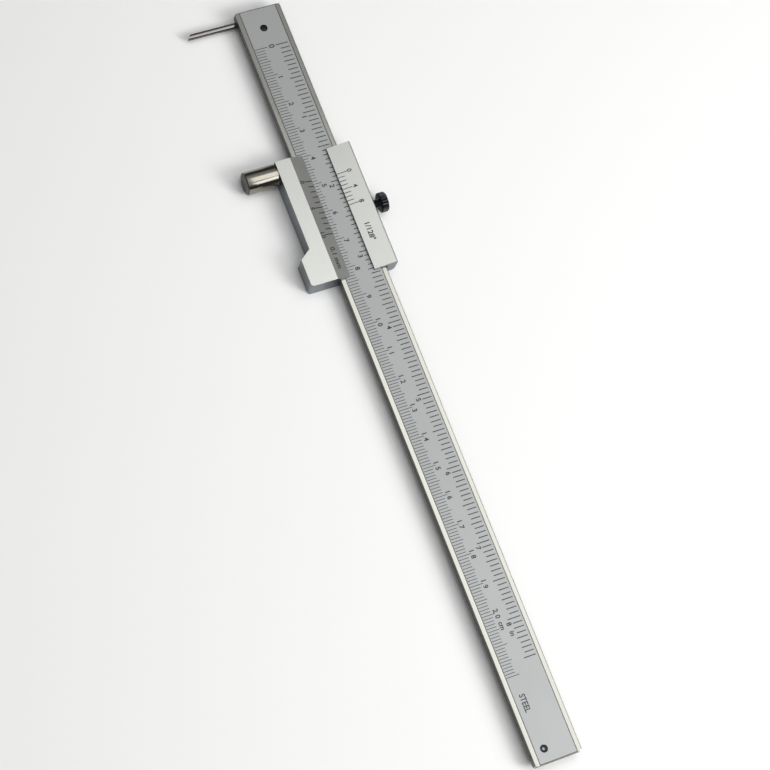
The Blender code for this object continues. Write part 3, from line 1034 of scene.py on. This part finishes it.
@dataclass
class NeedleClamp:
    """The grooved plate behind the beam, with its countersunk screw and its dowel."""

    finishes: Finishes
    corner: float = 0.6
    edge: float = 0.12
    gap: float = 0.1
    head_radius: float = 2.3
    shank_radius: float = 1.1
    socket_radius: float = 1.15     # from the middle to a corner of the hexagon socket
    socket_depth: float = 1.0
    pitch: float = 0.4
    thread_depth: float = 0.16

    def plate(self) -> bpy.types.Object:
        """Shape the plate.

        Returns:
            The plate.
        """
        box = Box.of("scriber_clamp_plate")
        screw = Box.of("scriber_clamp_screw").middle
        dowel = Box.of("scriber_clamp_dowel")
        plate = Bench.block("needle_clamp_plate", box.low, box.high)
        with Edit(plate) as edit:
            edit.edges(lambda a, b: abs(a.z - b.z) > 1).bevel(self.corner, 4)
            edit.tidy()
        x, z = NEEDLE_PLACE
        start, end = -2 * OVERRUN, Box.of("beam").high.y + 2 * OVERRUN
        Bench.bore(plate, Axis.Y, (x, 0.0, z), [(start, NEEDLE_GROOVE), (end, NEEDLE_GROOVE)], 48)
        slot = Bench.block("slot", (x - NEEDLE_GROOVE, start, z), (x + NEEDLE_GROOVE, end, 0.0))
        Bench.cut(plate, slot)
        back = box.low.z
        wide, slim = self.head_radius + self.gap, self.shank_radius + self.gap
        seat = [
            (back - OVERRUN, wide), (back + self.gap, wide), (back + self.gap + wide - slim, slim), (0.0, slim),
        ]
        Bench.bore(plate, Axis.Z, (screw.x, screw.y, 0.0), seat, 40)
        wide = dowel.radius + self.gap
        hole = [(dowel.low.z - self.gap, wide), (0.0, wide)]
        Bench.bore(plate, Axis.Z, (dowel.middle.x, dowel.middle.y, 0.0), hole, 24)
        Bench.break_edges(plate, self.edge)
        return plate

    def screw(self) -> bpy.types.Object:
        """Turn the countersunk screw and sink its hexagon socket.

        Returns:
            The screw.
        """
        box = Box.of("scriber_clamp_screw")
        back, front = box.low.z, box.high.z
        cone = self.head_radius - self.shank_radius
        head, shank = self.head_radius, self.shank_radius
        profile = [
            (back, head - 0.12), (back + 0.1, head), (back + 0.2, head - 0.1), (back + cone, shank),
            *thread(back + cone + 0.2, front - 0.5, shank, self.pitch, self.thread_depth),
            (front - 0.14, shank), (front - 0.04, shank - 0.08), (front, shank - 0.22),
        ]
        screw = Bench.turned("needle_clamp_screw", Axis.Z, box.middle, profile, 40)
        socket = [(back - OVERRUN, self.socket_radius), (back + self.socket_depth, self.socket_radius)]
        Bench.bore(screw, Axis.Z, box.middle, socket, 6)
        Bench.smooth(screw, 28)
        return screw

    def dowel(self) -> bpy.types.Object:
        """Turn the dowel with its rounded ends.

        Returns:
            The dowel.
        """
        box = Box.of("scriber_clamp_dowel")
        radius, low, high = box.radius, box.low.z, box.high.z
        profile = [
            (low, radius - 0.2), (low + 0.08, radius - 0.08), (low + 0.22, radius),
            (high - 0.22, radius), (high - 0.08, radius - 0.08), (high, radius - 0.2),
        ]
        dowel = Bench.turned("needle_clamp_dowel", Axis.Z, box.middle, profile, 32)
        Bench.smooth(dowel, 40)
        return dowel

    def build(self) -> None:
        """Build the clamp and dress it."""
        hand_over(self.plate(), Body.BEAM, Slot.PLATE, [self.finishes.plate], "scriber_clamp_plate")
        hand_over(self.screw(), Body.BEAM, Slot.SCREW, [self.finishes.black], "scriber_clamp_screw")
        hand_over(self.dowel(), Body.BEAM, Slot.PLATE, [self.finishes.plate], "scriber_clamp_dowel")


@dataclass
class StopScrew:
    """The headless screw near the far end of the beam."""

    finishes: Finishes
    ring: float = 0.58              # width of the black ring round its socket
    socket_depth: float = 0.35

    def build(self) -> None:
        """Build the screw and dress it."""
        box = Box.of("end_stop_screw")
        radius, low, high = box.radius, box.low.z, box.high.z
        floor, socket = high - self.socket_depth, radius - self.ring
        profile = [
            (low, radius - 0.3), (low + 0.12, radius - 0.1), (low + 0.3, radius), (high - 0.1, radius),
            (high, radius - 0.1), (high, socket), (floor, socket - 0.08),
        ]
        screw = Bench.turned("beam_stop_screw", Axis.Z, box.middle, profile, 40)
        for face in screw.data.polygons:
            face.material_index = 1 if floor - 0.05 < face.center.z < floor + HAIR else 0
        Bench.smooth(screw, 28)
        finish = [self.finishes.black, self.finishes.milled]
        hand_over(screw, Body.BEAM, Slot.SCREW, finish, "end_stop_screw")


# ---- The slider ----


@dataclass
class Slider:
    """The one-piece slider that wraps round the beam, its foot and its two verniers."""

    finishes: Finishes
    engraver: Engraver = field(default_factory=Engraver)
    left: float = -6.4
    channel: tuple[float, float] = (-0.1, 16.6)
    channel_back: float = -3.12
    channel_front: float = 0.12
    front: float = 1.95
    metric: Slope = Slope(3.42, 0.27, -1.2, 1.95)
    imperial: Slope = Slope(11.78, 0.85, 19.35, 2.05)
    shoulder: float = 1.6           # where the rounded right front edge meets the side
    foot_root: float = 71.1
    foot_shoulder: float = 73.9
    foot_corner: float = 1.0
    back_corner: float = 1.8
    front_corner: float = 0.24
    edge: float = 0.13
    gib_hole: float = 1.05
    stud_hole: float = 1.6
    pin_hole: tuple[float, float] = (1.85, 4.3)     # its radius and depth
    grub_hole: float = 1.1
    countersink: float = 0.2

    def body(self) -> bpy.types.Object:
        """Shape the body from its back plate, wall by wall and lip by lip.

        Returns:
            The body without its holes.
        """
        box = Box.of("slider_body")
        near, far = self.channel
        tip_left, tip_right = self.metric.tip_y, self.imperial.tip_y
        body = Bench.block(
            "slider_block", (box.low.x, self.left, box.low.z), (box.high.x, box.high.y, self.channel_back)
        )
        with Edit(body) as edit:
            for y in (self.metric.top_y, near, far, self.imperial.top_y):
                edit.score((0.0, y, 0.0), (0.0, 1.0, 0.0))
            edit.faces(lambda m, n: n.z > 0.9 and not near < m.y < far)
            edit.extrude((0.0, 0.0, self.channel_front - self.channel_back))
            edit.extrude((0.0, 0.0, self.front - self.channel_front))
            edit.faces(lambda m, n: n.y > 0.9 and abs(m.y - near) < HAIR and m.z > self.channel_front)
            edit.extrude((0.0, tip_left - near, 0.0))
            edit.faces(lambda m, n: n.y < -0.9 and abs(m.y - far) < HAIR and m.z > self.channel_front)
            edit.extrude((0.0, tip_right - far, 0.0))
            rows = (
                (tip_left, self.metric.tip_z), (near, self.metric.height(near)),
                (tip_right, self.imperial.tip_z), (far, self.imperial.height(far)),
                (self.imperial.top_y, self.imperial.top_z), (box.high.y, self.shoulder),
            )
            for y, z in rows:
                edit.points(lambda p: abs(p.y - y) < HAIR and abs(p.z - self.front) < HAIR)
                edit.move((0.0, 0.0, z - self.front))
            edit.score((self.foot_root, 0.0, 0.0), (1.0, 0.0, 0.0))
            edit.faces(lambda m, n: n.y < -0.9 and abs(m.y - self.left) < HAIR and m.x > self.foot_root)
            edit.extrude((0.0, box.low.y - self.left, 0.0))
            edit.points(lambda p: abs(p.y - box.low.y) < HAIR and abs(p.x - self.foot_root) < HAIR)
            edit.move((self.foot_shoulder - self.foot_root, 0.0, 0.0))
            edit.tidy(flat=True)
            edit.edges(
                lambda a, b: min(a.x, b.x) > box.high.x - HAIR and max(a.y, b.y) < box.low.y + HAIR
                and abs(a.z - b.z) > 1
            ).bevel(self.foot_corner, 6)
            edit.edges(lambda a, b: min(a.y, b.y) > box.high.y - HAIR and max(a.z, b.z) < box.low.z + HAIR)
            edit.bevel(self.back_corner, 8)
            edit.edges(
                lambda a, b: min(a.y, b.y) > self.imperial.top_y - HAIR
                and min(a.z, b.z) > self.shoulder - HAIR
                and abs(a.x - b.x) > 1
            ).bevel(self.front_corner, 3)
        return body

    def drill(self, body: bpy.types.Object) -> None:
        """Drill the holes for the pin and the screws, each with a small countersink.

        Args:
            body: The slider's body.
        """
        box = Box.of("slider_body")
        pin, grub = Box.of("guide_pin").middle, Box.of("guide_pin_set_screw").middle
        side, sink = box.high.y, self.countersink
        for node, radius in (
            ("gib_screw_1", self.gib_hole), ("gib_screw_2", self.gib_hole), ("thumb_stud", self.stud_hole),
        ):
            profile = [
                (self.channel[1] - 0.5, radius), (side - sink, radius), (side, radius + sink),
                (side + OVERRUN, radius + sink),
            ]
            Bench.bore(body, Axis.Y, Box.of(node).middle, profile, 32)
        radius, depth = self.pin_hole
        Bench.bore(body, Axis.Y, pin, [(self.left - OVERRUN, radius), (self.left + depth, radius)], 32)
        radius, back = self.grub_hole, box.low.z
        profile = [
            (back - OVERRUN, radius + sink), (back, radius + sink), (back + sink, radius), (pin.z, radius),
        ]
        Bench.bore(body, Axis.Z, grub, profile, 32)

    def verniers(self) -> list[bpy.types.Object]:
        """Cut both verniers with their figures.

        Returns:
            The marks, laid on their slopes.
        """
        cut = self.engraver
        short, long = -2.3, -3.3
        lengths = [long, *[short] * 4, long, *[short] * 4, long]
        zero, span = 48.8, 19.0
        metric = Engraver(line_width=0.32).row("metric_vernier_lines", zero, span / 10, 0.0, lengths, 11)
        row, height = -4.0, 1.5
        places = (("0", zero), ("5", zero + span / 2), ("1", zero + span - 0.75), ("0", zero + span + 0.55))
        items = [(text, place, row, height) for text, place in places]
        metric_figures = cut.words("metric_vernier_figures", items)
        metric_unit = cut.word("0.1 mm", (76.1, -2.5), 1.7, 1.05)
        zero, span = 49.15, 11.11
        lengths = [3.5, *[2.3] * 3, 3.2, *[2.3] * 3, 3.5]
        inch = Engraver(line_width=0.24).row("inch_vernier_lines", zero, span / 8, 0.0, lengths, 9)
        items = [
            ("0", zero, 4.35, height), ("4", zero + span / 2, 4.3, height), ("8", zero + span, 4.35, height),
        ]
        inch_figures = cut.words("inch_vernier_figures", items)
        inch_unit = cut.word('1/128"', (70.9, 3.2), 1.7, 1.05)
        metric_unit.name, inch_unit.name = "metric_vernier_unit", "inch_vernier_unit"
        laid = [self.metric.lay(piece) for piece in (metric, metric_figures, metric_unit)]
        return laid + [self.imperial.lay(piece) for piece in (inch, inch_figures, inch_unit)]

    def build(self) -> None:
        """Build the slider and dress it."""
        body = self.body()
        self.drill(body)
        Bench.break_edges(body, self.edge)
        # Faces that stand up from the front take the darker milled steel: a bare milled finish, its colour
        # darkened as painted shade on the slider's sides.
        for face in body.data.polygons:
            face.material_index = 1 if abs(face.normal.z) < 0.5 else 0
        finish = [self.finishes.chrome, self.finishes.milled]
        hand_over(body, Body.SLIDER, Slot.CHROME, finish, "slider_body")
        for marks in self.verniers():
            hand_over(marks, Body.SLIDER, None, [self.finishes.enamel])


@dataclass
class GuidePin:
    """The round guide pin, its neck and shank, and the set screw that holds it."""

    finishes: Finishes
    radius: float = 3.8
    round_over: float = 0.42        # at the pin's outer end
    neck_radius: float = 3.2
    neck_length: float = 0.4
    shank_radius: float = 1.75
    foot_rise: float = 3.8          # from the foot's outer face to the slider's left side
    gap: float = 0.1
    socket: float = 0.52            # from the middle to a corner of the set screw's socket

    def pin(self) -> bpy.types.Object:
        """Turn the pin.

        Returns:
            The pin.
        """
        box = Box.of("guide_pin")
        outer, inner = box.low.y, box.high.y
        root = Box.of("slider_body").low.y + self.foot_rise - self.gap
        radius, neck, shank = self.radius, root - self.neck_length, self.shank_radius
        profile = [
            (outer, radius - self.round_over), (outer + 0.06, radius - 0.28), (outer + 0.3, radius - 0.05),
            (outer + self.round_over, radius), (neck - 0.08, radius), (neck, radius - 0.08),
            (neck, self.neck_radius), (root, self.neck_radius), (root, shank),
            (inner - 0.2, shank), (inner, shank - 0.2),
        ]
        pin = Bench.turned("guide_pin_rod", Axis.Y, box.middle, profile, 96)
        # The pin's outer end takes the darker edge steel: painted shade on its end face.
        for face in pin.data.polygons:
            face.material_index = 1 if face.normal.y < -0.5 else 0
        Bench.smooth(pin, 32)
        return pin

    def set_screw(self) -> bpy.types.Object:
        """Turn the set screw with its socket.

        Returns:
            The screw.
        """
        box = Box.of("guide_pin_set_screw")
        radius, low, high = box.radius, box.low.z, box.high.z
        profile = [(low, radius - 0.1), (low + 0.1, radius), (high - 0.3, radius), (high, 0.6)]
        screw = Bench.turned("pin_set_screw", Axis.Z, box.middle, profile, 32)
        Bench.bore(screw, Axis.Z, box.middle, [(low - OVERRUN, self.socket), (low + 0.8, self.socket)], 6)
        Bench.smooth(screw, 28)
        return screw

    def build(self) -> None:
        """Build the pin and its screw and dress them."""
        finish = [self.finishes.polished, self.finishes.sawn]
        hand_over(self.pin(), Body.SLIDER, Slot.POLISHED, finish, "guide_pin")
        hand_over(self.set_screw(), Body.SLIDER, Slot.SCREW, [self.finishes.black], "guide_pin_set_screw")


@dataclass
class Gib:
    """The spring strip beside the beam, the pad that presses it, and the two screws that set it."""

    finishes: Finishes
    corner: float = 0.5
    edge: float = 0.05
    pad_edge: float = 0.15
    slot_width: float = 0.35
    slot_depth: float = 0.55

    def strip(self) -> bpy.types.Object:
        """Shape the strip.

        Returns:
            The strip.
        """
        box = Box.of("gib_strip")
        strip = Bench.block("gib_spring_strip", box.low, box.high)
        with Edit(strip) as edit:
            edit.edges(lambda a, b: abs(a.y - b.y) > HAIR).bevel(self.corner, 5)
        Bench.break_edges(strip, self.edge)
        return strip

    def pad(self) -> bpy.types.Object:
        """Turn the lock pad.

        Returns:
            The pad.
        """
        box = Box.of("lock_pad")
        radius, low, high, edge = box.radius, box.low.y, box.high.y, self.pad_edge
        profile = [(low, radius - edge), (low + edge, radius), (high - edge, radius), (high, radius - edge)]
        pad = Bench.turned("lock_screw_pad", Axis.Y, box.middle, profile, 40)
        Bench.smooth(pad, 30)
        return pad

    def screw(self) -> bpy.types.Object:
        """Turn the first gib screw and saw its slot.

        Returns:
            The screw.
        """
        box = Box.of("gib_screw_1")
        radius, low, high = box.radius, box.low.y, box.high.y
        profile = [(low, 0.45), (low + 0.4, radius), (high - 0.1, radius), (high, radius - 0.1)]
        screw = Bench.turned("gib_set_screw_1", Axis.Y, box.middle, profile, 32)
        half, middle = self.slot_width / 2, box.middle
        slot = Bench.block(
            "slot", (middle.x - radius * 2, high - self.slot_depth, middle.z - half),
            (middle.x + radius * 2, high + OVERRUN, middle.z + half),
        )
        Bench.cut(screw, slot)
        Bench.smooth(screw, 28)
        return screw

    def build(self) -> None:
        """Build the gib and dress it."""
        hand_over(self.strip(), Body.SHOE, Slot.SPRING, [self.finishes.spring], "gib_strip")
        hand_over(self.pad(), Body.SHOE, Slot.BRASS, [self.finishes.brass], "lock_pad")
        first = self.screw()
        second = Bench.copy(first, Box.of("gib_screw_2").middle - Box.of("gib_screw_1").middle)
        second.name = "gib_set_screw_2"
        hand_over(first, Body.SLIDER, Slot.SCREW, [self.finishes.black], "gib_screw_1")
        hand_over(second, Body.SLIDER, Slot.SCREW, [self.finishes.black], "gib_screw_2")


@dataclass
class ThumbScrew:
    """The thumb screw: a threaded stud in a knurled head."""

    finishes: Finishes
    teeth: int = 22
    tooth_points: int = 6           # points on the rim for each tooth, with the third in the valley
    tooth_depth: float = 0.42
    shallow_share: float = 0.45     # how deep the points beside the valley are, against the valley
    pitch: float = 0.5
    thread_depth: float = 0.22
    gap: float = 0.1

    def stud(self) -> bpy.types.Object:
        """Turn the threaded stud.

        Returns:
            The stud.
        """
        box = Box.of("thumb_stud")
        radius, low, high = box.radius, box.low.y, box.high.y
        profile = [
            (low, radius - 0.45), (low + 0.4, radius - 0.05),
            *thread(low + 0.5, high - 0.2, radius, self.pitch, self.thread_depth), (high, radius),
        ]
        stud = Bench.turned("thumb_screw_stud", Axis.Y, box.middle, profile, 32)
        Bench.smooth(stud, 25)
        return stud

    def knob(self) -> bpy.types.Object:
        """Shape the head: a disc whose rim is drawn in between its teeth, then drawn out along the axis.

        Returns:
            The head.
        """
        box = Box.of("thumb_knob")
        radius, inner, outer = box.radius, box.low.y, box.high.y
        centre = Vector((box.middle.x, inner, box.middle.z))
        bpy.ops.object.select_all(action="DESELECT")
        bpy.ops.mesh.primitive_circle_add(
            vertices=self.teeth * self.tooth_points, radius=radius, fill_type="NGON", location=centre,
            rotation=(-math.radians(90), 0.0, 0.0),
        )
        knob = Bench.settle("thumb_screw_head")

        def phase(point: Vector) -> int:
            """Tell which of its tooth's points a rim point is."""
            angle = math.atan2(point.x - centre.x, point.z - centre.z)
            return round(angle / (2 * math.pi) * self.teeth * self.tooth_points) % self.tooth_points

        deep = 1 - self.tooth_depth / radius
        shallow = 1 - self.tooth_depth * self.shallow_share / radius
        thickness = outer - inner
        outline = (
            (0.0, 0.62), (0.08, 0.64), (0.0, 0.86), (0.14, 0.93), (0.34, 1.0), (thickness - 0.5, 1.0),
            (thickness - 0.16, 0.94), (thickness, 0.86), (thickness, 0.64), (thickness - 0.1, 0.62),
        )
        with Edit(knob) as edit:
            edit.points(lambda p: phase(p) in (2, 4)).scale((shallow, 1.0, shallow), centre)
            edit.points(lambda p: phase(p) == 3).scale((deep, 1.0, deep), centre)
            was, size = outline[0][0] + 0.1, 0.4
            edit.everything().scale((size, 1.0, size), centre).move((0.0, was, 0.0))
            for place, grow in outline:
                edit.extrude((0.0, place - was, 0.0)).scale((grow / size, 1.0, grow / size), centre)
                was, size = place, grow
            edit.tidy()
        bore = Box.of("thumb_stud")
        width, depth = bore.radius + self.gap, bore.high.y + self.gap
        Bench.bore(knob, Axis.Y, bore.middle, [(inner - OVERRUN, width), (depth, width)], 32)
        Bench.smooth(knob, 28)
        return knob

    def build(self) -> None:
        """Build the thumb screw and dress it."""
        hand_over(self.stud(), Body.THUMB, Slot.SPRING, [self.finishes.spring], "thumb_stud")
        hand_over(self.knob(), Body.THUMB, Slot.KNOB, [self.finishes.knob], "thumb_knob")


# ---- The studio ----


@dataclass(frozen=True)
class Softbox:
    """A soft light: a white panel at a place in the gauge's frame, aimed at a point, in millimetres."""

    name: str
    place: tuple[float, float, float]
    aim: tuple[float, float, float]
    width: float
    height: float
    brightness: float               # how bright the panel itself looks, 1 being paper white

    def hang(self) -> None:
        """Hang the light."""
        data = bpy.data.lights.new(self.name, "AREA")
        data.shape = "RECTANGLE"
        data.size, data.size_y = self.width * MM, self.height * MM
        data.energy = self.brightness * math.pi * data.size * data.size_y
        lamp = bpy.data.objects.new(self.name, data)
        bpy.context.scene.collection.objects.link(lamp)
        lamp.location = ZERO + Vector(self.place) * MM
        direction = Vector(self.aim) - Vector(self.place)
        lamp.rotation_euler = direction.to_track_quat("-Z", "Y").to_euler()


@dataclass
class Studio:
    """The pale table, the lights and the camera."""

    finishes: Finishes
    table_size: float = 6000.0
    wall_light: float = 0.06        # brightness of the room low down
    ceiling_light: float = 0.6      # and overhead
    wall_top: float = 0.45          # the upward share of a direction where the dim part ends
    ceiling_edge: float = 0.88      # and where the bright part begins
    lens: float = 113.143
    camera_place: tuple[float, float, float] = (301.395, -222.837, 703.309)
    camera_turn: tuple[float, float, float] = (19.2472, -11.3587, 68.3936)
    softboxes: tuple[Softbox, ...] = (
        Softbox("overhead_softbox", (75.0, 220.0, 600.0), (75.0, 220.0, 0.0), 450.0, 560.0, 1.85),
        Softbox("side_softbox", (555.0, 250.0, 613.0), (40.0, 100.0, 0.0), 620.0, 340.0, 2.6),
        Softbox("key_softbox", (700.0, 600.0, 600.0), (60.0, 0.0, 0.0), 460.0, 460.0, 8.5),
    )

    def table(self) -> None:
        """Lay the table under the gauge, its edge rolled down."""
        half = self.table_size / 2
        top = (CAD_BOX[0][2] - ZERO.z) / MM
        table = Bench.block("studio_table", (-half, -half, top - 40.0), (half, half, top))
        with Edit(table) as edit:
            edit.edges(lambda a, b: min(a.z, b.z) > top - HAIR).bevel(20.0, 4)
        Bench.set_down(table)
        table.data.materials.append(self.finishes.floor)

    def room(self) -> None:
        """Fill the room with soft light that is dim low down and brighter towards the ceiling."""
        world = bpy.data.worlds.new("studio_room")
        world.use_nodes = True
        tree = world.node_tree
        direction = add_node(tree, "ShaderNodeTexCoord")
        parts = add_node(tree, "ShaderNodeSeparateXYZ", None, {"Vector": direction.outputs["Generated"]})
        height = add_node(
            tree, "ShaderNodeMapRange",
            {
                "From Min": self.wall_top, "From Max": self.ceiling_edge,
                "To Min": self.wall_light, "To Max": self.ceiling_light,
            },
            {"Value": parts.outputs["Z"]},
        )
        background = tree.nodes["Background"]
        background.inputs["Color"].default_value = linear("#FCFDFF")
        tree.links.new(height.outputs["Result"], background.inputs["Strength"])
        bpy.context.scene.world = world

    def camera(self) -> None:
        """Set up the camera."""
        data = bpy.data.cameras.new("camera")
        data.lens = self.lens
        data.sensor_width = 36.0
        data.clip_start, data.clip_end = 0.01, 50.0
        camera = bpy.data.objects.new("camera", data)
        camera.location = ZERO + Vector(self.camera_place) * MM
        camera.rotation_euler = [math.radians(angle) for angle in self.camera_turn]
        bpy.context.scene.collection.objects.link(camera)
        bpy.context.scene.camera = camera

    def build(self) -> None:
        """Build the studio."""
        self.table()
        self.room()
        self.camera()
        for softbox in self.softboxes:
            softbox.hang()
        bpy.context.scene.view_settings.view_transform = "Standard"


def main() -> None:
    """Build the gauge piece by piece, then the studio round it."""
    logging.basicConfig(level=logging.INFO, format="%(message)s")
    finishes = Finishes()
    for part in (
        Beam(finishes), Needle(finishes), NeedleClamp(finishes), StopScrew(finishes), Slider(finishes),
        GuidePin(finishes), Gib(finishes), ThumbScrew(finishes), Studio(finishes),
    ):
        part.build()
        LOG.info("%s done", type(part).__name__)


if __name__ == "__main__":
    main()
